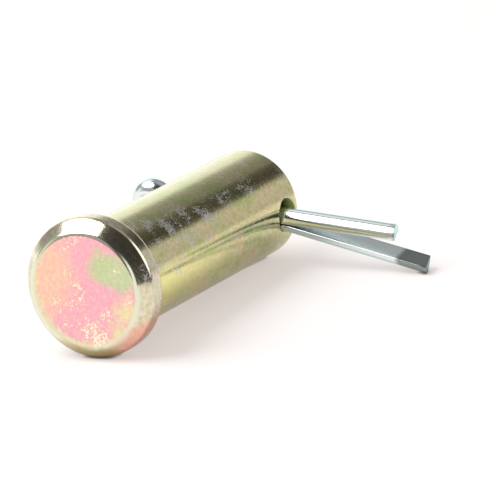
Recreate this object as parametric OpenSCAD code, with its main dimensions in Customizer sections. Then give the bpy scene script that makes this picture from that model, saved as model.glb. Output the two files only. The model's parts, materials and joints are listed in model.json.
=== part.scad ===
// Headed clevis pin with its split pin, both of plated steel, lying as they come to rest on a table.
// The clevis pin is one turned piece: a bevelled head, a plain shank and a hole across its tip.
// The split pin is one half-round wire, folded flat to flat into an eye, a closed neck and two legs.
// Origin: middle of the footprint, on the table. +X runs along the shank to its tip, +Y to the eye, +Z up.

/* [Shank] */
// Diameter of the shank, which turns in the fork
shank_d = 12.7; // [11:0.1:16]
// Length of the shank, from under the head to its tip
shank_l = 35.6; // [28:0.1:60]
// Bevel round the tip, as deep as it is long
tip_bevel = 0.8; // [0.3:0.1:1.2]
// Radius of the fillet between shank and head
neck_fillet = 0.4; // [0.2:0.1:0.8]

/* [Head] */
// How far the head stands out all round past the shank
head_rim = 1.6; // [1.4:0.1:3]
// Thickness of the head
head_h = 3.6; // [3.2:0.1:6]
// Bevel round the outer face, as deep as it is long
head_bevel = 1.45; // [0.6:0.05:1.8]
// Radius where the outer face meets the bevel
face_edge_r = 0.8; // [0.1:0.05:1]
// Radius where the bevel meets the side of the head
shoulder_r = 0.7; // [0.2:0.05:1]
// Radius of the head's rear edge
rear_edge_r = 0.5; // [0.2:0.05:0.8]

/* [Cross hole] */
// Diameter of the hole for the split pin
hole_d = 3.9; // [3.4:0.1:4.6]
// Distance from the middle of the hole to the tip of the shank
hole_to_tip = 3.2; // [2.9:0.1:8]

/* [Split pin] */
// How much thinner the closed split pin is than its hole
hole_play = 1.1; // [0.6:0.05:1.6]
// Gap left where the split pin lies against the edges of its hole
lean_gap = 0.04; // [0.03:0.01:0.2]
// Gap between the flats of the folded wire
wire_gap = 0.12; // [0.06:0.02:0.3]
// Radius of the opening in the eye
eye_r = 1.45; // [1.1:0.05:3]
// How much the wire swells where it is bent round into the eye
eye_swell = 0.02; // [0.01:0.01:0.1]
// How much wider than the half wire the bends below the eye are
neck_slack = 0.85; // [0.2:0.05:2]
// Distance from the shank to the bends below the eye
eye_standoff = 2; // [1:0.1:8]
// Distance from the shank to where the legs part
leg_standoff = 0.1; // [0.05:0.05:3]
// Radius of the small bend where each leg parts
leg_bend_r = 4; // [3:0.5:10]
// Straight length of the short leg
short_leg_l = 14.1; // [6:0.05:30]
// How much longer the other leg is
leg_extra_l = 3.4; // [0:0.05:8]
// Angle by which the short leg is spread, less than nothing if it is bent the way of the long leg
short_leg_spread = -0.7; // [-3:0.1:15]
// Angle by which the long leg is spread
long_leg_spread = 9; // [3.5:0.1:15]
// Slant of the sheared ends of the legs
end_slant = 16; // [0:1:30]
// Turn of the flats about the split pin's own length
flat_turn = 12; // [0:1:30]
// Where the split pin meets the edges of both mouths, turned about the hole from straight down
lean_turn = -26; // [-45:1:45]

/* [Hidden] */
$fn = 96;

shank_r = shank_d / 2;
head_r = shank_r + head_rim;
face_r = head_r - head_bevel;
total_l = head_h + shank_l;
hole_r = hole_d / 2;
hole_x = total_l - hole_to_tip;

wire_r = (hole_d - hole_play) / 2;       // outer radius of the closed pair
half_r = wire_r - wire_gap / 2;          // radius of one half-round wire
flat_z = wire_gap / 2;                   // height of a flat over the fold's middle plane
neck_r = half_r + neck_slack;            // radius of the neck bends, measured to the flat
neck_x = shank_r + eye_standoff;
leg_x = shank_r + leg_standoff;
eye_reach = sqrt(pow(neck_r + eye_r, 2) - pow(neck_r + flat_z, 2));
eye_x = neck_x + eye_reach;
eye_start = atan2(neck_r + flat_z, eye_reach);
neck_angle = 90 - eye_start;
long_leg_l = short_leg_l + leg_extra_l;
eye_lap = 2;                             // angle by which the swollen eye runs over each neck bend
far = 4 * total_l;                       // longer than anything in the model

// The clevis pin touches the table at the head's rear edge and at the edge of the tip's bevel.
rest_run = total_l - tip_bevel - (head_h - rear_edge_r);
rest_rise = head_r - rear_edge_r - shank_r;
dip = atan2(rest_rise, rest_run) + asin(rear_edge_r / norm([rest_run, rest_rise]));
axis_z = (total_l - tip_bevel) * sin(dip) + shank_r * cos(dip);

// The split pin lies along the bottom of its hole, a little askew, so that it meets the edges of both mouths.
mouth_depth = sqrt(pow(shank_r, 2) - pow(hole_r * cos(lean_turn), 2));
lean = atan2((hole_r - lean_gap - wire_r) * sin(lean_turn), mouth_depth);
drop = (hole_r - lean_gap - wire_r) * cos(lean_turn);

function about_x(v, a) = [v.x, v.y * cos(a) - v.z * sin(a), v.y * sin(a) + v.z * cos(a)];
function about_y(v, a) = [v.x * cos(a) + v.z * sin(a), v.y, v.z * cos(a) - v.x * sin(a)];
function about_z(v, a) = [v.x * cos(a) - v.y * sin(a), v.x * sin(a) + v.y * cos(a), v.z];
// From the split pin's own frame (legs along +X, flats facing Z) to the clevis pin's, before its roll
function in_pin(v) = about_z(about_x(v, flat_turn), lean - 90);
// From the clevis pin's frame to the table's, without the shift
function on_table(v, roll) = about_y(about_x(v, roll), dip);

// Lowest point of the long leg's slanted end, in the split pin's own frame, when the pin is rolled so far
long_dir = [cos(long_leg_spread), 0, -sin(long_leg_spread)];
long_out = [-sin(long_leg_spread), 0, -cos(long_leg_spread)];
slant_dir = [0, 1, 0] - tan(end_slant) * long_dir;
long_tip = [leg_x, 0, -flat_z] + leg_bend_r * ([0, 0, -1] - long_out) + long_leg_l * long_dir;
function low_point(roll) =
    let (across = on_table(in_pin(slant_dir), roll).z, out = on_table(in_pin(long_out), roll).z)
    long_tip - half_r * (across * slant_dir + out * long_out) / norm([across, out]);
// Roll at which a point of the clevis pin's frame lies on the table
function roll_to_table(p) =
    180 - asin(max(-1, (p.x * sin(dip) - axis_z) / (norm([p.y, p.z]) * cos(dip)))) - atan2(p.z, p.y);
// The lowest point shifts a little with the roll, so each of the steps mends the one before.
function settled(roll, steps) =
    steps == 0 ? roll : settled(roll_to_table([hole_x, 0, -drop] + in_pin(low_point(roll))) - 360, steps - 1);
roll = settled(0, 5);

// Reach of the model along X and Y, which puts the origin in the middle of its footprint
reach_x = [-(face_r - face_edge_r * tan(22.5)) * sin(dip), total_l * cos(dip) + (shank_r - tip_bevel) * sin(dip)];
eye_out = on_table(in_pin([-1, 0, 0]), roll).y;
eye_across = on_table(in_pin([0, 0, 1]), roll).y;
reach_y = on_table([hole_x, 0, -drop], roll).y * [1, 1]
    + [on_table(in_pin(long_tip - half_r * slant_dir), roll).y,
    eye_x * eye_out + (eye_r + half_r) * norm([eye_out, eye_across])];
centre = [reach_x[0] + reach_x[1], reach_y[0] + reach_y[1]] / 2;

// ---- placing ----

// Lays what is drawn in the clevis pin's frame (axis along X, outer face at x = 0) on the table.
module lay() {
    translate([-centre.x, -centre.y, axis_z]) rotate([0, dip, 0]) rotate([roll, 0, 0]) children();
}

// Puts what is drawn in the split pin's own frame into the hole.
module in_hole() {
    translate([hole_x, 0, -drop]) rotate([0, 0, lean - 90]) rotate([flat_turn, 0, 0]) children();
}

// ---- clevis pin ----

// Half profile: x is the radius, y the distance from the outer face.
// A round edge is a circle that touches both of its sides, added to a corner that is cut off.
module pin_profile() {
    edge_cut = face_edge_r * tan(22.5);
    shoulder_cut = shoulder_r * tan(22.5);
    diagonal = sqrt(0.5);
    polygon([[0, 0], [face_r - edge_cut, 0],
        [face_r + edge_cut * diagonal, edge_cut * diagonal],
        [head_r - shoulder_cut * diagonal, head_bevel - shoulder_cut * diagonal],
        [head_r, head_bevel + shoulder_cut], [head_r, head_h - rear_edge_r],
        [head_r - rear_edge_r, head_h], [shank_r, head_h], [shank_r, total_l - tip_bevel],
        [shank_r - tip_bevel, total_l], [0, total_l]]);
    translate([face_r - edge_cut, face_edge_r]) circle(face_edge_r);
    translate([head_r - shoulder_r, head_bevel + shoulder_cut]) circle(shoulder_r);
    translate([head_r - rear_edge_r, head_h - rear_edge_r]) circle(rear_edge_r);
    difference() {
        translate([shank_r - neck_fillet, head_h]) square([2 * neck_fillet, neck_fillet]);
        translate([shank_r + neck_fillet, head_h + neck_fillet]) circle(neck_fillet);
    }
}

module clevis_pin() {
    color("darkkhaki") lay() difference() {
        rotate([0, 90, 0]) rotate_extrude() pin_profile();
        translate([hole_x, 0, 0]) rotate([90, 0, 0]) cylinder(h = 3 * shank_d, r = hole_r, center = true);
    }
}

// ---- split pin ----

// Half disc, flat side down, with the middle of its flat at the origin, and a little larger all round if swollen
module half_round(swell = 0) {
    outer_r = half_r + swell;
    intersection() {
        circle(outer_r);
        translate([-outer_r, -swell]) square([2 * outer_r, outer_r + swell]);
    }
}

// Straight half-round wire from the origin along +X, flat side down
module straight_wire(length) {
    rotate([90, 0, 90]) linear_extrude(length) half_round();
}

// Half-round wire bent by an angle: it starts at the origin along +X and rises towards its round side,
// or sinks towards its flat if the angle is less than nothing.
module bent_wire(bend_r, angle) {
    sinks = angle < 0 ? 1 : 0;
    mirror([0, 0, sinks]) translate([0, 0, bend_r]) rotate([90, 0, 0]) rotate([0, 0, -90])
        rotate_extrude(angle = abs(angle)) translate([bend_r, 0]) rotate([0, 0, 90 - 180 * sinks]) half_round();
}

// One leg: the small bend where it parts, then its straight length, cut off slanting
module leg(length, spread) {
    translate([leg_x, 0, flat_z]) {
        bent_wire(leg_bend_r, spread);
        translate(sign(spread) * leg_bend_r * [sin(spread), 0, 1 - cos(spread)]) rotate([0, -spread, 0])
            difference() {
                straight_wire(length + half_r);
                translate([length, 0, 0]) rotate([0, 0, end_slant])
                    translate([0, -far / 2, -far / 2]) cube([far, far, far]);
            }
    }
}

// The half of the fold above its middle plane, as far as the eye
module half_fold(leg_l, spread) {
    leg(leg_l, spread);
    translate([-neck_x, 0, flat_z]) straight_wire(neck_x + leg_x);
    mirror([1, 0, 0]) translate([neck_x, 0, flat_z]) bent_wire(neck_r, neck_angle);
}

// The eye, from the one neck bend round to the other, with the flat inside
module eye() {
    from = eye_start - eye_lap;
    translate([-eye_x, 0, 0]) rotate([90, 0, 0]) rotate([0, 0, from])
        rotate_extrude(angle = 360 - 2 * from) translate([eye_r, 0]) rotate([0, 0, -90]) half_round(eye_swell);
}

module split_pin() {
    color("silver") lay() in_hole() {
        half_fold(short_leg_l, short_leg_spread);
        mirror([0, 0, 1]) half_fold(long_leg_l, long_leg_spread);
        eye();
    }
}

clevis_pin();
split_pin();
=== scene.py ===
# %% [markdown]
# # A headed clevis pin with its split pin
# A clevis pin joins a fork to a rod and lets both turn. A split pin through the hole near its tip keeps it
# there. Both lie here as they come to rest on a table: the head's rim, the tip and the longer leg touch it.
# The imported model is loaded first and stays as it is. Every piece below is set in its frame, in metres, and
# its box is noted now, so that the finished pieces can be held against it at the end.

# %% Load the frame
import json
import bmesh
import bpy
import numpy as np
from mathutils import Matrix, Vector


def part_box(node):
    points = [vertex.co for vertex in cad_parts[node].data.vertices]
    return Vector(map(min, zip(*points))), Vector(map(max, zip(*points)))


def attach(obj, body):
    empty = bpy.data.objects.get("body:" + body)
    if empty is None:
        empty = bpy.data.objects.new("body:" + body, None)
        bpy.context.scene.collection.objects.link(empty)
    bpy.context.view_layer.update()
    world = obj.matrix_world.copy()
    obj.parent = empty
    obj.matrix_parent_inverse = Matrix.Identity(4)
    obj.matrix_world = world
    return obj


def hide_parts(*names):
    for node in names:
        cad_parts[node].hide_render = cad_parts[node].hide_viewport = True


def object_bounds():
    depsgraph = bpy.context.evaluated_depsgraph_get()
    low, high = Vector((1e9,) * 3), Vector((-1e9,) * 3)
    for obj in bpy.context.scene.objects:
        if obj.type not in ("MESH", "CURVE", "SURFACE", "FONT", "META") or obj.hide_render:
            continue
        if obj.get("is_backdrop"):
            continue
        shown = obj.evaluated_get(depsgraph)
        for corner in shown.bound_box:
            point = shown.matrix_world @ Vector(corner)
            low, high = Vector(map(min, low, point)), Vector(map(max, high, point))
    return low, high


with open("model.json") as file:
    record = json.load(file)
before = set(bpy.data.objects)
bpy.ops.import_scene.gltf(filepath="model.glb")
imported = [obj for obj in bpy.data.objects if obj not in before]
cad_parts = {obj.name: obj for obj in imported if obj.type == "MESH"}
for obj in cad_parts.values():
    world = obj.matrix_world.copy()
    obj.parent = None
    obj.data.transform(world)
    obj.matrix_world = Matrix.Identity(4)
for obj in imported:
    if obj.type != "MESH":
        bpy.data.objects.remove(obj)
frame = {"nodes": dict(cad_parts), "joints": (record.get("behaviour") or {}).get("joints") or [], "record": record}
cad_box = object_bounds()
MM = 0.001
for node in frame["nodes"]:
    low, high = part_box(node)
    print(node, "size in mm:", [round((b - a) / MM, 1) for a, b in zip(low, high)])

# %% [markdown]
# ## The sizes
# The shank is the common half-inch one, and the split pin is the eighth-inch one that goes with it. Each size
# is written once, in millimetres, and everything else is worked out from these.

# %% Sizes of both pins, in millimetres
SHANK_R = 6.35
SHANK_L = 35.6
HEAD_R = SHANK_R + 1.6
HEAD_H = 3.6
HEAD_BEVEL = 1.45
TIP_BEVEL = 0.8
HOLE_R = 1.95
HOLE_TO_TIP = 3.2
HOLE_EDGE = 0.1          # the hole's mouths are eased by this much
TOTAL_L = HEAD_H + SHANK_L
FACE_R = HEAD_R - HEAD_BEVEL
HOLE_X = TOTAL_L - HOLE_TO_TIP

PAIR_R = 1.4             # outer radius of the folded pair of wires
WIRE_GAP = 0.12          # between the two flats
HALF_R = PAIR_R - WIRE_GAP / 2
FLAT_Z = WIRE_GAP / 2
EYE_R = 1.45
NECK_R = HALF_R + 0.85   # bend below the eye, measured to the flat
NECK_X = SHANK_R + 2.0   # where the bends below the eye start, from the middle of the hole
LEG_X = SHANK_R + 0.1    # where the legs start to spread, the other way
LEG_BEND_R = 4.0
SHORT_LEG = 14.1         # straight part beyond that bend
LONG_LEG = SHORT_LEG + 3.4
SHORT_SPREAD = np.radians(-0.7)   # bent a little the way of the long leg
LONG_SPREAD = np.radians(9.0)
END_SLANT = np.radians(16)        # of the sheared ends, across the wire
print("clevis pin", TOTAL_L, "mm long, head", round(2 * HEAD_R, 2), "mm across")
print("split pin", 2 * PAIR_R, "mm thick where its wires lie together")

# %% [markdown]
# ## Where the two pins lie
# Each pin is drawn straight in a frame of its own and then turned into place, which keeps the formulas short.
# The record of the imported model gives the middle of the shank's grip and its direction. Round that axis the
# pin has rolled until the long leg met the table. The split pin lies along the bottom of its loose hole, a
# little askew.

# %% Frames of the two pins
PIN_ROLL = 4.512         # degrees that the clevis pin has rolled about its axis
LEAN = -2.098            # degrees that the split pin lies askew in its hole
DROP = 0.4584            # from the middle of the hole down to the split pin, in millimetres
FLAT_TURN = 12           # turn of the flats about the split pin's own length, in degrees
GRIP_BACK = 2.0          # from the middle of the shank back to the middle of the grip
GRIP_MID = HEAD_H + SHANK_L / 2 - GRIP_BACK


def turned(axis, degrees):
    """3 by 3 matrix of a right-handed turn about one of the axes x, y and z."""
    return np.array(Matrix.Rotation(np.radians(degrees), 3, axis))


shank = next(m for m in frame["record"]["mounts"] if m["name"] == "shank")
along = np.array(shank["axis"])
across = np.array([0.0, 1.0, 0.0])
level = np.column_stack([along, across, np.cross(along, across)])
pin_axes = level @ turned("X", PIN_ROLL)
pin_origin = np.array(shank["pos_m"]) / MM - GRIP_MID * along
split_axes = pin_axes @ turned("Z", LEAN - 90) @ turned("X", FLAT_TURN)
split_origin = pin_origin + pin_axes @ [HOLE_X, 0, -DROP]
slide_axis = np.array(frame["joints"][0]["axis"])
off = np.degrees(np.arccos(min(1.0, float(split_axes[:, 0] @ slide_axis))))
print("the split pin's length is", round(off, 3), "degrees off the joint's axis")

# %% [markdown]
# ## From arrays to a mesh
# A surface is worked out as an array of points, one row for each station along it. Neighbouring rows are
# joined by quads, and an end is closed by a fan round one point. A closed shell has its faces turned
# outwards at the end, so no formula has to care which way round it runs.

# %% Helpers for meshes
def quads(rows):
    """Quads between neighbouring rows of point numbers. Each row is a closed loop."""
    a, b = rows[:-1], rows[1:]
    c, d = np.roll(b, -1, axis=1), np.roll(a, -1, axis=1)
    return np.stack([a, b, c, d], axis=-1).reshape(-1, 4).tolist()


def fan(loop, tip):
    """Triangles from each edge of a closed loop of point numbers to one point."""
    return np.stack([loop, np.roll(loop, -1), np.full(len(loop), tip)], axis=-1).tolist()


def placed(points, axes, origin):
    """Points of a pin's own frame, in millimetres, set in the model's frame, in metres."""
    return (np.asarray(points) @ axes.T + origin) * MM


def add_piece(name, points, faces, node):
    """Closed shell from points in metres and lists of point numbers, in the place of a CAD node."""
    mesh = bpy.data.meshes.new(name)
    mesh.from_pydata(points.tolist(), [], faces)
    shell = bmesh.new()
    shell.from_mesh(mesh)
    bmesh.ops.recalc_face_normals(shell, faces=shell.faces)
    shell.to_mesh(mesh)
    open_edges = sum(not edge.is_manifold for edge in shell.edges)
    shell.free()
    mesh.shade_smooth()
    piece = bpy.data.objects.new(name, mesh)
    bpy.context.scene.collection.objects.link(piece)
    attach(piece, node)
    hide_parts(node)
    print(name, len(points), "points", len(faces), "faces", open_edges, "open edges")
    return piece


print("three rows of four points make", len(quads(np.arange(12).reshape(3, 4))), "quads")

# %% [markdown]
# ## The outline of the turned pin
# A clevis pin of this kind is headed or turned from bar, so its outline is straight lines with eased corners.
# A modifier could bevel a sharp lathe mesh. Working the corners out gives each its own radius, and a close
# pair of points on either side of every arc keeps the flat parts flat under smooth shading.

# %% Outline with eased corners
HOLD = 0.03              # distance of the extra point beyond each end of an arc
START_R = 0.15           # radius of the outline's two ends, which fans close to the axis
PATCH = 2.25             # half length of the patch that is left open over each mouth of the cross hole
FACE_EASE = 0.8          # radii of the eased corners, from the face to the tip
BEVEL_EASE = 0.7
REAR_EASE = 0.5
FILLET = 0.4
TIP_EASE = 0.2


def eased(corners, steps=7):
    """Outline through corners (x, y, radius). At each corner an arc of that radius touches both sides:
    with half the angle between the sides h, it starts radius / tan(h) from the corner, and its middle
    lies on the halving line, radius / sin(h) from it."""
    corners = np.array(corners, float)
    out = [corners[:1, :2]]
    for before, here, after in zip(corners[:-2], corners[1:-1], corners[2:]):
        a = (before - here)[:2] / np.linalg.norm((before - here)[:2])
        b = (after - here)[:2] / np.linalg.norm((after - here)[:2])
        half = np.arccos(np.clip(a @ b, -1, 1)) / 2
        reach = here[2] / np.tan(half)
        middle = here[:2] + (a + b) / np.linalg.norm(a + b) * here[2] / np.sin(half)
        first, last = here[:2] + reach * a - middle, here[:2] + reach * b - middle
        sweep = np.pi - 2 * half
        t = np.linspace(0, 1, steps)[:, None]
        arc = (np.sin((1 - t) * sweep) * first + np.sin(t * sweep) * last) / np.sin(sweep)
        out += [[here[:2] + (reach + HOLD) * a], middle + arc, [here[:2] + (reach + HOLD) * b]]
    return np.vstack(out + [corners[-1:, :2]])


head = eased([(0, START_R, 0), (0, FACE_R, FACE_EASE), (HEAD_BEVEL, HEAD_R, BEVEL_EASE),
              (HEAD_H, HEAD_R, REAR_EASE), (HEAD_H, SHANK_R, FILLET), (HOLE_X - PATCH, SHANK_R, 0)])
tip = eased([(HOLE_X + PATCH, SHANK_R, 0), (TOTAL_L - TIP_BEVEL, SHANK_R, TIP_EASE),
             (TOTAL_L, SHANK_R - TIP_BEVEL, TIP_EASE), (TOTAL_L, START_R, 0)])
print("outline:", len(head) + len(tip), "points")

# %% [markdown]
# ## The turned pin
# Most of the pin is its outline carried round the axis. The cross hole is what makes it hard: a boolean cut
# would leave long thin faces that spoil the shine just where the legs come out. So a square patch of the
# lathe grid is left open over each mouth, rings of points run from its border in to the round mouth, turn
# over the eased edge, and go on as the wall of the hole to the other side.

# %% Mouths of the cross hole
AROUND = 240             # points round the pin
HALF_COLUMNS = 14        # half width of the open patch, in steps round the pin
HALF_ROWS = 9            # half length of the open patch, in rows
FLAT_RINGS = 5           # rings on the shank between the patch's border and the eased edge
EDGE_RINGS = 6           # rings over the eased edge


def patch_loop():
    """Steps (along, round) of the patch's border from its middle, in order round it."""
    n, m = HALF_ROWS, HALF_COLUMNS
    steps_along = [np.arange(-n, n), np.full(2 * m, n), np.arange(n, -n, -1), np.full(2 * m, -n)]
    steps_round = [np.full(2 * n, -m), np.arange(-m, m), np.full(2 * n, m), np.arange(m, -m, -1)]
    return np.concatenate(steps_along), np.concatenate(steps_round)


def mouth_rings(side):
    """Rings from the patch's border to the hole's wall, on the side +1 or -1 of the pin.
    On the shank a point (x, z) lies at height sqrt(R^2 - z^2), and the rings go evenly from the border to
    the circle. Over the edge the radius shrinks by e(1 - sin q) while the depth grows by e(1 - cos q)."""
    steps_along, steps_round = patch_loop()
    border = np.stack([steps_along * PATCH / HALF_ROWS, SHANK_R * np.sin(steps_round * 2 * np.pi / AROUND)])
    t = np.arctan2(border[1], border[0])
    circle = np.stack([np.cos(t), np.sin(t)])
    f = np.linspace(0, 1, FLAT_RINGS + 1)[1:, None, None]
    flat = (1 - f) * border + f * (HOLE_R + HOLE_EDGE + HOLD) * circle
    q = np.linspace(0, np.pi / 2, EDGE_RINGS)
    over = (HOLE_R + HOLE_EDGE * (1 - np.sin(q)))[:, None, None] * circle
    rings = np.concatenate([flat, over, HOLE_R * circle[None]])
    depth = np.concatenate([np.zeros(len(flat)), HOLE_EDGE * (1 - np.cos(q)), [HOLE_EDGE + HOLD]])[:, None]
    height = side * (np.sqrt(SHANK_R ** 2 - rings[:, 1] ** 2) - depth)
    return np.stack([HOLE_X + rings[:, 0], height, rings[:, 1]], axis=-1)


print("each mouth has", len(mouth_rings(1)), "rings of", len(patch_loop()[0]), "points")

# %% [markdown]
# The whole pin is one closed shell: the lathe's grid without the cells under the two patches, the rings of
# both mouths with the wall between them, and a fan in the middle of each end. The two patches lie half a turn
# apart, so one condition on the steps round the pin finds both.

# %% Clevis pin
WALL_ROWS = 14           # rows of the hole's wall, from mouth to mouth


def turned_pin():
    """Points and faces. The lathe is (x, r cos(a), r sin(a)) for an outline of x and r and an angle a."""
    patch_x = np.linspace(HOLE_X - PATCH, HOLE_X + PATCH, 2 * HALF_ROWS + 1)[1:-1]
    outline = np.vstack([head, np.column_stack([patch_x, np.full(len(patch_x), SHANK_R)]), tip])
    a = np.arange(AROUND) * 2 * np.pi / AROUND
    x, r = outline[:, :1], outline[:, 1:]
    lathe = np.stack([x + 0 * a, r * np.cos(a), r * np.sin(a)], axis=-1)
    rows = np.arange(lathe.shape[0] * AROUND).reshape(-1, AROUND)
    cells = np.array(quads(rows)).reshape(len(rows) - 1, AROUND, 4)
    middle_row = len(head) - 1 + HALF_ROWS
    inside_rows = np.abs(np.arange(len(rows) - 1) + 0.5 - middle_row) < HALF_ROWS
    steps = (np.arange(AROUND) + 0.5) % (AROUND / 2)
    inside_columns = (steps < HALF_COLUMNS) | (steps > AROUND / 2 - HALF_COLUMNS)
    kept = cells[~(inside_rows[:, None] & inside_columns[None, :])]

    steps_along, steps_round = patch_loop()
    near = rows[middle_row + steps_along, steps_round % AROUND]
    other = rows[middle_row + steps_along, (AROUND // 2 - steps_round) % AROUND]
    mouth, back = mouth_rings(1), mouth_rings(-1)[::-1]
    f = np.linspace(0, 1, WALL_ROWS)[1:-1, None, None]
    hole = np.concatenate([mouth, (1 - f) * mouth[-1] + f * back[0], back])
    start = rows.size
    hole_rows = start + np.arange(hole.shape[0] * hole.shape[1]).reshape(hole.shape[:2])
    ends = start + hole_rows.size + np.arange(2)
    points = np.concatenate([lathe.reshape(-1, 3), hole.reshape(-1, 3), [[0, 0, 0], [TOTAL_L, 0, 0]]])
    faces = kept.tolist() + quads(np.vstack([near, hole_rows, other]))
    return points, faces + fan(rows[0], ends[0]) + fan(rows[-1], ends[1])


points, faces = turned_pin()
pin_piece = add_piece("turned_clevis_pin", placed(points, pin_axes, pin_origin), faces, "clevis_pin")

# %% [markdown]
# ## The folded wire
# A split pin starts as half-round wire. It is folded flat to flat round a peg, which leaves the eye, and the
# ends are sheared at a slant, one leg longer than the other. A curve object could carry the section, but
# its tilt is hard to hold round the eye. Here the wire is walked in one plane as straights and turns, and
# the section stands square on that path, with its round side always to the right of the walk.

# %% Path of the wire
STEP = 0.8               # distance between stations on the straights, in millimetres
TURN_STEP = np.radians(4)


def walk(parts):
    """Path of straights and turns. parts holds (length, turn): a turn has the radius length / turn.
    Each step is the chord of its arc, 2 R sin(turn / 2) long, in the direction midway through its turn."""
    chords, turns = [], []
    for length, turn in parts:
        n = int(np.ceil(max(length / STEP if turn == 0 else 0, abs(turn) / TURN_STEP, 1)))
        part = turn / n
        chords += [length / n * (np.sin(part / 2) / (part / 2) if part else 1.0)] * n
        turns += [part] * n
    chords, turns = np.array(chords), np.array(turns)
    heading = np.concatenate([[0], np.cumsum(turns)])
    middle = heading[:-1] + turns / 2
    steps = chords[:, None] * np.column_stack([np.cos(middle), np.sin(middle)])
    return np.vstack([[0, 0], np.cumsum(steps, axis=0)]), heading


print("a quarter turn of 2 mm radius ends at", np.round(walk([(np.pi, np.pi / 2)])[0][-1], 3).tolist())

# %% [markdown]
# The section is a rolled flat and a half circle, with a small eased corner on either side. A Bevel modifier
# could ease the corners, but the points of the flat have to be known, because the finish differs there. They
# come first in each section.

# %% Section of the wire
CORNER_R = 0.1           # eased corners between flat and round
FLAT_POINTS = 6          # points across the flat, which are the first of each section
CORNER_POINTS = 4
ARC_POINTS = 26


def half_round():
    """Closed section (side, out): a flat through the origin and a half circle of HALF_R, corners eased."""
    low = np.arcsin(CORNER_R / HALF_R)
    a = np.linspace(low, np.pi - low, ARC_POINTS)
    q = np.linspace(-np.pi / 2, 0, CORNER_POINTS + 1)[:-1]
    corner = np.column_stack([HALF_R - CORNER_R + CORNER_R * np.cos(q), CORNER_R + CORNER_R * np.sin(q)])
    flat = np.linspace(-1, 1, FLAT_POINTS + 2)[1:-1, None] * [HALF_R - CORNER_R - HOLD, 0]
    arc = HALF_R * np.column_stack([np.cos(a), np.sin(a)])
    return np.vstack([flat, corner, arc, (corner * [-1, 1])[::-1]])


print("the section has", len(half_round()), "points")

# %% [markdown]
# The walk starts at the short leg's end, goes through the hole, round the eye and back, and stops at the long
# leg's end. A neck bend touches the eye where the line between their middles crosses both circles, and that
# gives the angle at which the eye starts.

# %% Path of the split pin
def split_pin_path():
    """Points (x, z) and headings from the short leg's end, round the eye, to the long leg's end. The sine of
    the eye's opening is (neck + half the gap) / (neck + eye), with radii to the flat. The whole walk is then
    turned and shifted, so that the closed pair lies along x."""
    opening = np.arcsin((NECK_R + FLAT_Z) / (NECK_R + EYE_R))
    neck = np.pi / 2 - opening
    loop = 2 * np.pi - 2 * opening
    parts = [(SHORT_LEG, 0), (LEG_BEND_R * abs(SHORT_SPREAD), -SHORT_SPREAD), (NECK_X + LEG_X, 0),
             (NECK_R * neck, -neck), (EYE_R * loop, loop), (NECK_R * neck, -neck),
             (NECK_X + LEG_X, 0), (LEG_BEND_R * LONG_SPREAD, -LONG_SPREAD), (LONG_LEG, 0)]
    path, heading = walk(parts)
    c, s = np.cos(SHORT_SPREAD), np.sin(SHORT_SPREAD)
    bend = np.sign(SHORT_SPREAD) * LEG_BEND_R * np.array([s, 1 - c])
    short_end = np.array([LEG_X, FLAT_Z]) + bend + SHORT_LEG * np.array([c, s])
    return path @ np.array([[-c, -s], [s, -c]]) + short_end, heading + np.pi + SHORT_SPREAD


path, heading = split_pin_path()
chords = np.linalg.norm(np.diff(path, axis=0), axis=1)
print("the flat of the wire is", round(float(chords.sum()), 1), "mm long")

# %% [markdown]
# Every station gets a section, which stands square on the path. The sheared ends slant across the wire, have
# an eased edge and are closed by a fan.

# %% Split pin
CAP_EASE = 0.06          # eased edge of the sheared ends
CAP_RINGS = 5            # rings over that edge
HALF_DISC_MIDDLE = 0.42  # a half disc's middle lies 4 / (3 pi) of its radius from the flat


def folded_wire(path, heading):
    """Points and faces of the wire along a path (x, z), and for each point 1 on the flat and 0 elsewhere. A
    section's point (side, out) lies at path + side * y + out * the way to the right of the heading."""
    ahead = np.stack([np.cos(heading), 0 * heading, np.sin(heading)], axis=-1)
    out = np.stack([np.sin(heading), 0 * heading, -np.cos(heading)], axis=-1)
    middle = np.stack([path[:, 0], 0 * heading, path[:, 1]], axis=-1)
    section = half_round()
    side = np.array([0.0, 1.0, 0.0])

    def rings(where, size=1.0):
        """Section at the stations where, shrunk about its own middle by size."""
        core = np.array([0, HALF_DISC_MIDDLE * HALF_R])
        s = core + (section - core) * size
        return middle[where][:, None] + s[:, :1] * side + out[where][:, None] * s[:, 1:]

    def end(where, sign):
        """Rings over the eased edge of a sheared end, which slants by tan(END_SLANT) across the wire."""
        out_of_end = sign * ahead[where][:, None]
        lean = -section[:, :1] * np.tan(END_SLANT)
        q = np.linspace(0, np.pi / 2, CAP_RINGS)
        grown = [rings(where, 1 - CAP_EASE / HALF_R * (1 - np.cos(a))) + out_of_end
                 * (lean - CAP_EASE * (1 - np.sin(a))) for a in q]
        inner = [rings(where, s) + out_of_end * lean * s for s in (0.9, 0.5)]
        return np.concatenate(grown + inner)

    body = rings(np.arange(1, len(middle) - 1))
    first, last = end(np.array([0]), -1), end(np.array([len(middle) - 1]), 1)
    grid = np.concatenate([first[::-1], body, last])
    rows = np.arange(grid.shape[0] * grid.shape[1]).reshape(grid.shape[:2])
    tips = [grid[0].mean(axis=0), grid[-1].mean(axis=0)]
    faces = quads(rows) + fan(rows[0], rows.size) + fan(rows[-1], rows.size + 1)
    on_flat = np.append(np.tile(np.arange(len(section)) < FLAT_POINTS, len(grid)), [False, False])
    return np.concatenate([grid.reshape(-1, 3), tips]), faces, on_flat.astype(np.float32)


points, faces, on_flat = folded_wire(path, heading)
split_piece = add_piece("folded_split_pin", placed(points, split_axes, split_origin), faces, "split_pin")
split_piece.data.attributes.new("rolled_flat", "FLOAT", "POINT").data.foreach_set("value", on_flat)

# %% [markdown]
# ## Colours
# A colour is easiest to pick as it looks on a screen. A shader reckons with linear light instead, and one
# function turns the one into the other.

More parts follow.
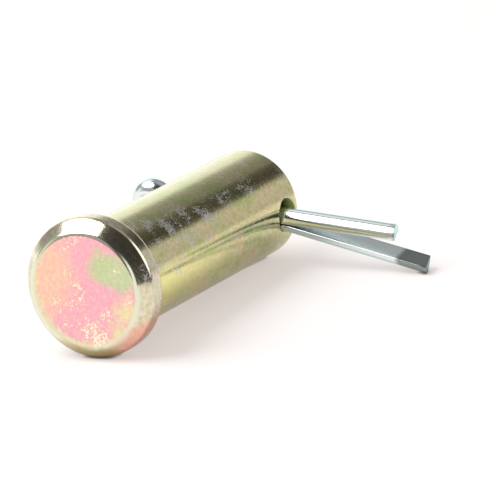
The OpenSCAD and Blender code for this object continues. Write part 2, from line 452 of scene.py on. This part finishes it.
# %% Colours
def colour(hex_code):
    """Linear colour of an sRGB hex value s: s / 12.92 up to 0.04045, ((s + 0.055) / 1.055)^2.4 above."""
    s = np.array([int(hex_code[i:i + 2], 16) for i in (1, 3, 5)]) / 255
    linear = np.where(s <= 0.04045, s / 12.92, ((s + 0.055) / 1.055) ** 2.4)
    return (*linear.tolist(), 1.0)


print("a grey of #808080 is", round(colour("#808080")[0], 3), "in linear light")

# %% [markdown]
# ## Nodes
# A material is a tree of nodes, and one function adds a node with its settings, its values and its links. A
# socket goes by its name, or by its number where several share a name. A Map Range takes its value at 0 and
# turns the range from 1 to 2 into the one from 3 to 4, which is 0 to 1 where nothing is said. A Mix of
# colours goes from 6 to 7 as its share at 0 rises, and a multiply add gives 0 times 1 plus 2.

# %% Helpers for materials
def add(tree, kind, inputs=(), stops=(), **settings):
    """Adds a node. inputs maps a socket to a value or to the socket that feeds it. stops are the places and
    colours, or grey levels, of a colour ramp: its two ends first, and then those between them."""
    node = tree.nodes.new(kind)
    for name, value in settings.items():
        setattr(node, name, value)
    for name, value in dict(inputs).items():
        if isinstance(value, bpy.types.NodeSocket):
            tree.links.new(value, node.inputs[name])
        else:
            node.inputs[name].default_value = value
    for i, (place, value) in enumerate(stops):
        element = node.color_ramp.elements[i] if i < 2 else node.color_ramp.elements.new(place)
        element.position, element.color = place, value if isinstance(value, tuple) else (value,) * 3 + (1.0,)
    return node


def new_material(name):
    """Empty node material with its output, as (material, tree, output)."""
    material = bpy.data.materials.new(name)
    material.use_nodes = True
    material.node_tree.nodes.clear()
    return material, material.node_tree, add(material.node_tree, "ShaderNodeOutputMaterial")


def own_millimetres(tree, axes, origin):
    """Object coordinates turned into a pin's own frame, in millimetres: x along it, y and z across."""
    place = add(tree, "ShaderNodeTexCoord").outputs["Object"]
    back = Matrix(axes.T.tolist())
    return add(tree, "ShaderNodeMapping", {
        "Vector": place, "Location": -(back @ Vector(origin)), "Rotation": back.to_euler(),
        "Scale": (1 / MM, 1 / MM, 1 / MM)}).outputs["Vector"]


print("the clevis pin's own frame starts at", np.round(pin_origin, 2).tolist(), "mm")

# %% [markdown]
# ## Yellow chromate on zinc
# The clevis pin is steel, zinc plated in a barrel and dipped in yellow chromate. The film is thinner than a
# wave of light, so its colour wanders from gold and olive to green and pink with its thickness. Where pins
# have knocked together in the barrel it is gone, and small flakes of duller, silvery zinc show. A thin film
# could be worked out from its thickness, but the plain colours of each field are easier to set and to match.
# The dot product of a place with a way across the pin tells how far it lies that way, and so picks a side.

# %% Film on the shank
CLOUD = 3.5              # size of the film's clouds, in millimetres
GRAIN = 0.5              # size of its grains
GREEN_WAY = (0.0, 0.26, 0.97)
YELLOW_WAY = (0.0, -0.99, -0.14)
chromate, tree, output = new_material("yellow chromate on zinc")
mm = own_millimetres(tree, pin_axes, pin_origin)
x, y, _ = add(tree, "ShaderNodeSeparateXYZ", {0: mm}).outputs

# The film's colour wanders slowly in clouds, and once more in grains.
cloud = add(tree, "ShaderNodeTexNoise", {"Vector": mm, "Scale": 1 / CLOUD, "Detail": 3.0}).outputs[0]
film = add(tree, "ShaderNodeValToRGB", {0: cloud}, stops=[
    (0.38, colour("#B2BE74")), (0.62, colour("#DEC49C")), (0.5, colour("#CCC892"))]).outputs[0]
grain = add(tree, "ShaderNodeTexNoise", {
    "Vector": mm, "Scale": 1 / GRAIN, "Detail": 3.0, "Roughness": 0.7}).outputs[0]
grains = add(tree, "ShaderNodeValToRGB", {0: grain}, stops=[
    (0.36, colour("#A2B062")), (0.64, colour("#F2D2C4")), (0.5, colour("#CAC690"))]).outputs[0]
film = add(tree, "ShaderNodeMix", {0: 0.45, 6: film, 7: grains}, data_type="RGBA").outputs[2]

# Along one side of the shank it is greener, and along another, towards the head, it is a pale yellow.
greener = add(tree, "ShaderNodeVectorMath", {0: mm, 1: GREEN_WAY}, operation="DOT_PRODUCT").outputs[1]
greener = add(tree, "ShaderNodeMapRange", {0: greener, 1: 4.0, 2: 6.5, 4: 0.5}).outputs[0]
film = add(tree, "ShaderNodeMix", {0: greener, 6: film, 7: colour("#C2CE9A")}, data_type="RGBA").outputs[2]
# That pale yellow is partly the film's tint and partly a painted reflection of the white card beside the shank.
yellow_and_painted_reflection = add(tree, "ShaderNodeVectorMath", {0: mm, 1: YELLOW_WAY}, operation="DOT_PRODUCT").outputs[1]
yellow_and_painted_reflection = add(tree, "ShaderNodeMapRange", {0: yellow_and_painted_reflection, 1: 5.7, 2: 6.3, 4: 0.7}).outputs[0]
to_head = add(tree, "ShaderNodeMapRange", {0: x, 1: 24.0, 2: 8.0}).outputs[0]
yellow_and_painted_reflection = add(tree, "ShaderNodeMath", {0: yellow_and_painted_reflection, 1: to_head}, operation="MULTIPLY").outputs[0]
film = add(tree, "ShaderNodeMix", {0: yellow_and_painted_reflection, 6: film, 7: colour("#F0EC98")}, data_type="RGBA").outputs[2]
print("the film on the shank takes", len(tree.nodes), "nodes")

# %% [markdown]
# ### The head's side
# The head's side and bevel are paler, and rosy at one side of the foot. At the foot itself, where the dip ran
# together, they are a brown gold that is partly painted shade, and the dark brown at the very bottom is painted
# shade where the head meets the table. Each of these is a tint laid over the film from some distance across
# the pin on, and the clouds make its border uneven.

# %% Film on the head's side
TINTED = 0.75            # how far a tint covers the film
FRAY = 3.0               # share of the clouds in the distances below, in millimetres
FOOT_TINTS_AND_PAINTED_SHADE = [                 # way across the pin, distance with that share from which it shows, and tint
    ((0.0, -0.7, -0.71), 7.9, "#ECA698"),
    # the brown gold is partly darkened as painted shade, and the dark brown is painted shade at the contact
    ((0.0, 0.05, -1.0), 7.4, "#AE9452"),
    ((0.0, 0.0, -1.0), 8.9, "#5E4A22"),
]
on_head = add(tree, "ShaderNodeMapRange", {0: x, 1: HEAD_H + 0.1, 2: HEAD_H - 0.1}).outputs[0]
silver = colour("#DED4C8")
silver = add(tree, "ShaderNodeMix", {0: 0.55, 6: silver, 7: grains}, data_type="RGBA").outputs[2]
on_edge = add(tree, "ShaderNodeMapRange", {0: x, 1: 0.5, 2: 0.2}).outputs[0]
edge = colour("#DCDEC4")
silver = add(tree, "ShaderNodeMix", {0: on_edge, 6: silver, 7: edge}, data_type="RGBA").outputs[2]
film = add(tree, "ShaderNodeMix", {0: on_head, 6: film, 7: silver}, data_type="RGBA").outputs[2]
for way, start, tint in FOOT_TINTS_AND_PAINTED_SHADE:
    low = add(tree, "ShaderNodeVectorMath", {0: mm, 1: way}, operation="DOT_PRODUCT").outputs[1]
    low = add(tree, "ShaderNodeMath", {0: cloud, 1: FRAY, 2: low}, operation="MULTIPLY_ADD").outputs[0]
    low = add(tree, "ShaderNodeMapRange", {0: low, 1: start, 2: start + 1.0, 4: TINTED}).outputs[0]
    low = add(tree, "ShaderNodeMath", {0: low, 1: on_head}, operation="MULTIPLY").outputs[0]
    film = add(tree, "ShaderNodeMix", {0: low, 6: film, 7: colour(tint)}, data_type="RGBA").outputs[2]
print("the head's side brings them to", len(tree.nodes))

# %% [markdown]
# ### The face
# The outer face dried last, and its film is thick enough to be pink, with green, orange and yellow fields. A
# field is full round its middle and fades outwards, and a noise that shifts every place frays its border.

# %% Fields of the face
WOBBLE = 1.6             # size of the frayed borders, in millimetres
WOBBLE_REACH = 3.0       # the noise adds between none and all of this to each place
FIELDS = [               # middle, radius where the field is full and where it ends, in millimetres, and tint
    ((0, 7.0, 1.5), 4.0, 6.6, "#EEC3A4"),
    ((0, -2.4, 3.0), 1.3, 2.5, "#ACCF8F"),
    ((0, -4.6, 2.2), 1.3, 2.4, "#AED097"),
    ((0, -5.2, -1.8), 0.5, 2.1, "#E2DCA0"),
    ((0, -4.2, -4.2), 0.3, 1.6, "#E2DCA0"),
]
wobble = add(tree, "ShaderNodeTexNoise", {
    "Vector": mm, "Scale": 1 / WOBBLE, "Detail": 4.0, "Roughness": 0.6}).outputs[1]
wobble = add(tree, "ShaderNodeVectorMath", {0: wobble, "Scale": WOBBLE_REACH}, operation="SCALE").outputs[0]
field = add(tree, "ShaderNodeVectorMath", {0: mm, 1: wobble}, operation="ADD").outputs[0]
face = colour("#EAABB6")
for middle, inner, outer, tint in FIELDS:
    middle = tuple(np.add(middle, WOBBLE_REACH / 2).tolist())   # the noise adds half on the average
    near = add(tree, "ShaderNodeVectorMath", {0: field, 1: middle}, operation="DISTANCE").outputs[1]
    near = add(tree, "ShaderNodeMapRange", {0: near, 1: outer, 2: inner}).outputs[0]
    face = add(tree, "ShaderNodeMix", {0: near, 6: face, 7: colour(tint)}, data_type="RGBA").outputs[2]
mottle = add(tree, "ShaderNodeValToRGB", {0: grain}, stops=[
    (0.38, colour("#F49CB0")), (0.66, colour("#FFF0CC")), (0.5, colour("#FFBCC0"))]).outputs[0]
face = add(tree, "ShaderNodeMix", {0: 0.22, 6: face, 7: mottle}, data_type="RGBA").outputs[2]
print("the face has", len(FIELDS), "fields, and the nodes are now", len(tree.nodes))

# %% [markdown]
# Towards its edge the face's film thins out in a ragged, pale ring, which is wider at the low side. The ring
# is drawn where the distance from the axis, with a share of the grains and of the low side, passes a limit.

# %% Pale ring of the face
LOW_WAY = (0.0, 0.5, -0.86)
RAGGED = 2.5             # share of the grains, in millimetres
RING_FROM = 7.2          # the ring fades in between these sums, in millimetres
RING_TO = 7.7
radius = add(tree, "ShaderNodeVectorMath", {0: mm, 1: (0.0, 1.0, 1.0)}, operation="MULTIPLY").outputs[0]
radius = add(tree, "ShaderNodeVectorMath", {0: radius}, operation="LENGTH").outputs[1]
low_side = add(tree, "ShaderNodeVectorMath", {0: mm, 1: LOW_WAY}, operation="DOT_PRODUCT").outputs[1]
ring = add(tree, "ShaderNodeMath", {0: low_side, 1: 0.08, 2: radius}, operation="MULTIPLY_ADD").outputs[0]
ring = add(tree, "ShaderNodeMath", {0: grain, 1: RAGGED, 2: ring}, operation="MULTIPLY_ADD").outputs[0]
ring = add(tree, "ShaderNodeMapRange", {0: ring, 1: RING_FROM, 2: RING_TO, 4: 0.8}).outputs[0]
pale = colour("#DCDEB0")
face = add(tree, "ShaderNodeMix", {0: ring, 6: face, 7: pale}, data_type="RGBA").outputs[2]
on_face = add(tree, "ShaderNodeMapRange", {0: x, 1: 0.03, 2: 0.01}).outputs[0]
film = add(tree, "ShaderNodeMix", {0: on_face, 6: film, 7: face}, data_type="RGBA").outputs[2]
print("the ring starts about", RING_FROM - RAGGED / 2, "mm from the axis of the face")

# %% [markdown]
# ### The cross hole
# Inside the hole the plate is thin and the dip has dried on it. It is a dull green coat more than a metal, and
# its colour is painted lighter near the mouths and darker away from them, as painted light and painted shade.

# %% Coat in the cross hole
LIGHT_FROM = 5.9         # the coat darkens between these distances from the pin's axis, in millimetres
DARK_FROM = 4.7
from_middle = add(tree, "ShaderNodeVectorMath", {0: mm, 1: (1.0, 0.0, 1.0)}, operation="MULTIPLY").outputs[0]
from_middle = add(tree, "ShaderNodeVectorMath", {
    0: from_middle, 1: (HOLE_X, 0.0, 0.0)}, operation="DISTANCE").outputs[1]
in_hole = add(tree, "ShaderNodeMapRange", {0: from_middle, 1: HOLE_R + 0.06, 2: HOLE_R + 0.02}).outputs[0]
# Painted shade: the coat's colour darkens with depth into the hole, and is painted light near the mouths.
depth = add(tree, "ShaderNodeMath", {0: y}, operation="ABSOLUTE").outputs[0]
depth = add(tree, "ShaderNodeMapRange", {0: depth, 1: LIGHT_FROM, 2: DARK_FROM}).outputs[0]
coat_and_painted_shade = add(tree, "ShaderNodeValToRGB", {0: depth}, stops=[
    (0.0, colour("#E4E69A")), (1.0, colour("#5C6632"))]).outputs[0]
film = add(tree, "ShaderNodeMix", {0: in_hole, 6: film, 7: coat_and_painted_shade}, data_type="RGBA").outputs[2]
print("the coat is darkest", round(SHANK_R - DARK_FROM, 2), "mm below the shank's surface")

# %% [markdown]
# ### Worn flakes
# Knocks have taken the film off in ragged flakes, in clusters, most of them along one side. Three things are
# added up: a fine noise for the flakes, a coarse one for the clusters, and a share for the place. Where the
# sum passes a limit the film is gone. On the face it is only thinner there, which is gold and then cream.

# %% Worn flakes
FLAKE = 0.25             # size of the flakes, in millimetres
FACE_FLAKE = 0.36        # and of those on the face
CLUSTER = 2.2            # size of their clusters
CLUSTER_PATTERN = 7.9    # fourth coordinate of the noise, which picks the places of the clusters
WORN_FROM = 1.08         # the film goes between these two sums
WORN_TO = 1.16
KNOCKED_WAY = (-0.03, -0.67, 0.74)
flake_size = add(tree, "ShaderNodeMapRange", {0: on_face, 3: 1 / FLAKE, 4: 1 / FACE_FLAKE}).outputs[0]
flake = add(tree, "ShaderNodeTexNoise", {"Vector": mm, "Scale": flake_size, "Detail": 3.0, "Roughness": 0.7,
                                         "Distortion": 0.2}).outputs[0]
patchy = add(tree, "ShaderNodeTexNoise", {"Vector": mm, "W": CLUSTER_PATTERN, "Scale": 1 / CLUSTER,
                                          "Detail": 2.0}, noise_dimensions="4D").outputs[0]
patchy = add(tree, "ShaderNodeMapRange", {0: patchy, 1: 0.32, 2: 0.68, 3: 0.32, 4: 0.66}).outputs[0]
knocked = add(tree, "ShaderNodeVectorMath", {0: mm, 1: KNOCKED_WAY}, operation="DOT_PRODUCT").outputs[1]
knocked = add(tree, "ShaderNodeMapRange", {0: knocked, 1: 3.8, 2: 6.0, 3: -0.11, 4: 0.02}).outputs[0]
knocked = add(tree, "ShaderNodeMath", {0: on_head, 1: -0.08, 2: knocked}, operation="MULTIPLY_ADD").outputs[0]
low_left = add(tree, "ShaderNodeMapRange", {0: low_side, 1: -1.5, 2: 6.0, 3: -0.08, 4: 0.02}).outputs[0]
knocked = add(tree, "ShaderNodeMix", {0: on_face, 2: knocked, 3: low_left}).outputs[0]
total = add(tree, "ShaderNodeMath", {0: patchy, 1: knocked}, operation="ADD").outputs[0]
total = add(tree, "ShaderNodeMath", {0: flake, 1: total}, operation="ADD").outputs[0]
worn = add(tree, "ShaderNodeMapRange", {0: total, 1: WORN_FROM, 2: WORN_TO}).outputs[0]
thin = add(tree, "ShaderNodeValToRGB", {0: worn}, stops=[
    (0.2, colour("#FACC68")), (0.9, colour("#FFF2D4"))]).outputs[0]
bare = colour("#D2CCCC")
bare = add(tree, "ShaderNodeMix", {0: on_face, 6: bare, 7: thin}, data_type="RGBA").outputs[2]
base = add(tree, "ShaderNodeMix", {0: worn, 6: film, 7: bare}, data_type="RGBA").outputs[2]
print("the flakes bring the nodes to", len(tree.nodes))

# %% [markdown]
# ### The finish
# The plate is a little uneven, by some hundredths of a millimetre, which makes the mirrored edges ragged.
# Bare zinc is rougher than the film, and the coat in the hole is rougher still and hardly metallic.

# %% Finish of the clevis pin
UNEVEN = 0.03            # height of the unevenness, in millimetres
FILM_ROUGH = 0.15
ZINC_ROUGHER = 0.2       # added where the film is gone
COAT_ROUGHER = 0.35      # added in the hole
COAT_METAL = 0.3
rough = add(tree, "ShaderNodeMath", {
    0: worn, 1: ZINC_ROUGHER, 2: FILM_ROUGH}, operation="MULTIPLY_ADD").outputs[0]
rough = add(tree, "ShaderNodeMath", {
    0: in_hole, 1: COAT_ROUGHER, 2: rough}, operation="MULTIPLY_ADD").outputs[0]
uneven = add(tree, "ShaderNodeBump", {"Height": grain, "Distance": UNEVEN * MM, "Strength": 0.3}).outputs[0]
metal = add(tree, "ShaderNodeMapRange", {0: in_hole, 3: 1.0, 4: COAT_METAL}).outputs[0]
surface = add(tree, "ShaderNodeBsdfPrincipled", {
    "Base Color": base, "Metallic": metal, "Roughness": rough, "Normal": uneven})
tree.links.new(surface.outputs[0], output.inputs["Surface"])
pin_piece.data.materials.append(chromate)
print(chromate.name, "on", pin_piece.name, "has", len(tree.nodes), "nodes")

# %% [markdown]
# ## Bright zinc
# The split pin is zinc plated too, but passivated clear, so it is close to white with a hint of teal where it
# is seen along the surface. That hint is the metal's tint at its edges, one colour on the shader itself, and
# needs no pattern. The wire's round side is drawn and smooth, and its rolled flat is satin, so the mesh
# carries a value that is 1 on the flat and sets the roughness there. Near the sheared end of the longer leg
# the colour is painted grey, a painted dark reflection on the wire.

# %% Bright zinc
# The grey near the long leg's end is painted between these distances: a painted dark reflection.
GREY_FROM = 20.6         # the plate turns grey between these distances from the hole's middle
GREY_TO = 21.2
ROUND_ROUGH = 0.16
FLAT_ROUGH = 0.34
zinc, tree, output = new_material("bright zinc plate")
mm = own_millimetres(tree, split_axes, split_origin)
along_wire = add(tree, "ShaderNodeSeparateXYZ", {0: mm}).outputs[0]
painted_dark_end = add(tree, "ShaderNodeMapRange", {0: along_wire, 1: GREY_FROM, 2: GREY_TO}).outputs[0]
plate = add(tree, "ShaderNodeValToRGB", {0: painted_dark_end}, stops=[
    (0.0, colour("#E2E8E9")), (1.0, colour("#8E9291"))]).outputs[0]
flat = add(tree, "ShaderNodeAttribute", attribute_name="rolled_flat").outputs["Fac"]
rough = add(tree, "ShaderNodeMapRange", {0: flat, 3: ROUND_ROUGH, 4: FLAT_ROUGH}).outputs[0]
surface = add(tree, "ShaderNodeBsdfPrincipled", {
    "Base Color": plate, "Metallic": 1.0, "Roughness": rough, "Specular Tint": colour("#D4F4EA")})
tree.links.new(surface.outputs[0], output.inputs["Surface"])
split_piece.data.materials.append(zinc)
print(zinc.name, "on", split_piece.name, "has", len(tree.nodes), "nodes")

# %% [markdown]
# ## The table
# The pins lie on a plain white card. It is mostly a matt surface that takes their shadow, and partly a glow
# that only the camera and mirrors see, which keeps it white without lighting the pins from below twice over.
# A matt card alone would need so strong a lamp for the same white that the shadows would turn hard. An
# Ambient Occlusion node dims the glow close to where metal touches the card, because no light gets in there.

# %% Table
TABLE_HALF = 0.2         # metres
CONTACT = 0.35           # reach of the dimming, in millimetres
GLOW_SHARE = 0.52        # of what the camera sees of the card
MIRROR_SHARE = 0.5       # of that glow in mirrors
mesh = bpy.data.meshes.new("table")
mesh.from_pydata([(-TABLE_HALF, -TABLE_HALF, 0), (TABLE_HALF, -TABLE_HALF, 0),
                  (TABLE_HALF, TABLE_HALF, 0), (-TABLE_HALF, TABLE_HALF, 0)], [], [(0, 1, 2, 3)])
table = bpy.data.objects.new("table", mesh)
bpy.context.scene.collection.objects.link(table)
table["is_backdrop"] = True
paper, tree, output = new_material("white card")
card = add(tree, "ShaderNodeBsdfDiffuse", {"Color": colour("#F6F6F6")})
near_white = add(tree, "ShaderNodeAmbientOcclusion", {
    "Color": colour("#FFF4F1"), "Distance": CONTACT * MM}, samples=8).outputs["Color"]
glow = add(tree, "ShaderNodeEmission", {"Color": near_white})
rays = add(tree, "ShaderNodeLightPath").outputs
mirrored = add(tree, "ShaderNodeMath", {0: rays["Is Glossy Ray"], 1: rays["Is Transmission Ray"]},
               operation="MAXIMUM").outputs[0]
shown = add(tree, "ShaderNodeMath", {0: mirrored, 1: MIRROR_SHARE, 2: rays["Is Camera Ray"]},
            operation="MULTIPLY_ADD", use_clamp=True).outputs[0]
share = add(tree, "ShaderNodeMath", {0: shown, 1: GLOW_SHARE}, operation="MULTIPLY").outputs[0]
surface = add(tree, "ShaderNodeMixShader", {0: share, 1: card.outputs[0], 2: glow.outputs[0]})
tree.links.new(surface.outputs[0], output.inputs["Surface"])
mesh.materials.append(paper)
print(table.name, "carries", paper.name)

# %% [markdown]
# ## The lamp
# One round softbox, high up on the side of the split pin's eye, gives the shadow and the white glint along
# the wire. A sun lamp would draw a hard shadow, and a disk of this width, a metre away, draws a soft one. The
# camera doesn't see it.

# %% Lamp
LAMP_WAY = np.array([-0.287, 0.497, 0.819])
LAMP_AWAY = 1.0          # metres
LAMP_R = 0.446           # metres
LAMP_POWER = 11.2        # watts
lamp_data = bpy.data.lights.new("softbox", "AREA")
lamp_data.shape = "DISK"
lamp_data.size = 2 * LAMP_R
lamp_data.energy = LAMP_POWER
lamp = bpy.data.objects.new("softbox", lamp_data)
bpy.context.scene.collection.objects.link(lamp)
way = Vector(LAMP_WAY).normalized()
lamp.matrix_world = Matrix.Translation(way * LAMP_AWAY) @ way.to_track_quat("Z", "Y").to_matrix().to_4x4()
lamp.visible_camera = False
print("lamp of", LAMP_POWER, "W at", LAMP_AWAY, "m")

# %% [markdown]
# ## The room
# Polished metal shows its surroundings, so the bands on the shank are drawn by the room and not by the
# material. Mirrors see a pale backdrop all round the far side, a dim ceiling above it, darkness behind the
# camera, and a few patches of light and grey. A picture of a real room could stand here, but a few ramps over
# the direction say what matters. A ramp runs from the dark side, 0, to the bright side, 1. What is seen
# directly is plain white, and matt surfaces get an even grey.

# %% Backdrop and ceiling
BRIGHT_WAY = (0.5, 0.866, 0.0)
CEILING_FROM = 0.298     # sines of the angles above the table between which the ceiling fades in
CEILING_TO = 0.328
CEILING_TILT = 0.094     # added to them on the bright side and taken off on the dark one
world = bpy.data.worlds.new("studio")
bpy.context.scene.world = world
world.use_nodes = True
tree = world.node_tree
tree.nodes.clear()
direction = add(tree, "ShaderNodeTexCoord").outputs["Generated"]
up = add(tree, "ShaderNodeSeparateXYZ", {0: direction}).outputs[2]
bright_side = add(tree, "ShaderNodeVectorMath", {
    0: direction, 1: BRIGHT_WAY}, operation="DOT_PRODUCT").outputs[1]
half = add(tree, "ShaderNodeMapRange", {0: bright_side, 1: -1.0, 2: 1.0}).outputs[0]
backdrop = add(tree, "ShaderNodeValToRGB", {0: half}, stops=[
    (0.0, 0.06), (1.0, 1.5), (0.25, 0.06), (0.4, 0.3), (0.47, 0.7), (0.6, 0.8), (0.85, 1.1)]).outputs[0]
ceiling = add(tree, "ShaderNodeValToRGB", {0: half}, stops=[
    (0.0, 0.05), (1.0, 0.5), (0.67, 0.06), (0.695, 0.25), (0.75, 0.3), (0.85, 0.45)]).outputs[0]
edge = add(tree, "ShaderNodeMath", {
    0: bright_side, 1: -CEILING_TILT, 2: up}, operation="MULTIPLY_ADD").outputs[0]
above = add(tree, "ShaderNodeMapRange", {0: edge, 1: CEILING_FROM, 2: CEILING_TO}).outputs[0]
room = add(tree, "ShaderNodeMix", {0: above, 6: backdrop, 7: ceiling}, data_type="RGBA").outputs[2]
print("the bare room takes", len(tree.nodes), "nodes")

# %% [markdown]
# A patch is a round screen or gap seen from the pins. The dot product of a direction with the way to its
# middle is the cosine of the angle between them, so its border is a pair of cosines.

# %% Patches of the room
PATCHES = [              # way to the middle, level, and the degrees from it where it starts to fade and ends
    ((0.44, -0.16, 0.883), 0.45, 10, 36),      # a lighter part of the ceiling
    ((-0.786, 0.491, 0.375), 0.45, 20, 30),    # a grey wall in front of the head
    ((0.066, 0.937, 0.342), 0.42, 12, 24),     # a grey gap in the backdrop
    ((0.426, 0.609, 0.669), 1.1, 15, 22),      # a white screen over the backdrop
    ((0.26, -0.84, 0.475), 2.4, 12, 30),       # a small bright screen at the right
    ((-0.87, -0.49, 0.1), 1.2, 12, 25),        # a pale screen low beside the camera
]
for way, level, inner, outer in PATCHES:
    patch = add(tree, "ShaderNodeVectorMath", {0: direction, 1: way}, operation="DOT_PRODUCT").outputs[1]
    reach = np.cos(np.radians([outer, inner])).tolist()
    patch = add(tree, "ShaderNodeMapRange", {0: patch, 1: reach[0], 2: reach[1]}).outputs[0]
    level = (level, level, level, 1.0)
    room = add(tree, "ShaderNodeMix", {0: patch, 6: room, 7: level}, data_type="RGBA").outputs[2]
rays = add(tree, "ShaderNodeLightPath").outputs
mirrored = add(tree, "ShaderNodeMath", {0: rays["Is Glossy Ray"], 1: rays["Is Transmission Ray"]},
               operation="MAXIMUM").outputs[0]
grey, white = (0.5, 0.5, 0.5, 1.0), (1.0, 1.0, 1.0, 1.0)
seen = add(tree, "ShaderNodeMix", {0: mirrored, 6: grey, 7: room}, data_type="RGBA").outputs[2]
shown = add(tree, "ShaderNodeMix", {0: rays["Is Camera Ray"], 6: seen, 7: white}, data_type="RGBA").outputs[2]
sky = add(tree, "ShaderNodeBackground", {"Color": shown})
tree.links.new(sky.outputs[0], add(tree, "ShaderNodeOutputWorld").inputs["Surface"])
print("the room with", len(PATCHES), "patches has", len(tree.nodes), "nodes")

# %% [markdown]
# ## The camera
# A long lens from half a metre away, a little above the table and turned a little about its own axis, looks
# at the head from the front and lets the shank run off behind it. A wide lens closer by would swell the head.

# %% Camera
AZIMUTH = -60.51         # degrees round +Z, where 0 is a camera that looks along +Y
ELEVATION = 16.46        # degrees above the table
ROLL = 6.45              # degrees about the lens
DISTANCE = 558.87        # from the aim, in millimetres
AIM = Vector((1.83, -3.96, 6.46))  # in millimetres, from the middle of the footprint
LENS = 360.0             # focal length, in millimetres
camera_data = bpy.data.cameras.new("camera")
camera_data.lens = LENS
camera_data.clip_start = 0.01
camera = bpy.data.objects.new("camera", camera_data)
bpy.context.scene.collection.objects.link(camera)
turn = (Matrix.Rotation(np.radians(AZIMUTH), 4, "Z") @ Matrix.Rotation(np.radians(90 - ELEVATION), 4, "X")
        @ Matrix.Rotation(np.radians(-ROLL), 4, "Z"))
camera.matrix_world = Matrix.Translation(AIM * MM) @ turn @ Matrix.Translation((0, 0, DISTANCE * MM))
bpy.context.scene.camera = camera
bpy.context.scene.view_settings.view_transform = "Standard"
print("camera", DISTANCE, "mm from its aim, lens", LENS, "mm")

# %% Sizes at the end
boxes = [[list(corner) for corner in box] for box in (cad_box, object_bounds())]
for name, box in zip(("packed", "finished"), boxes):
    print(name, "box in mm:", [round(value / MM, 2) for corner in box for value in corner])
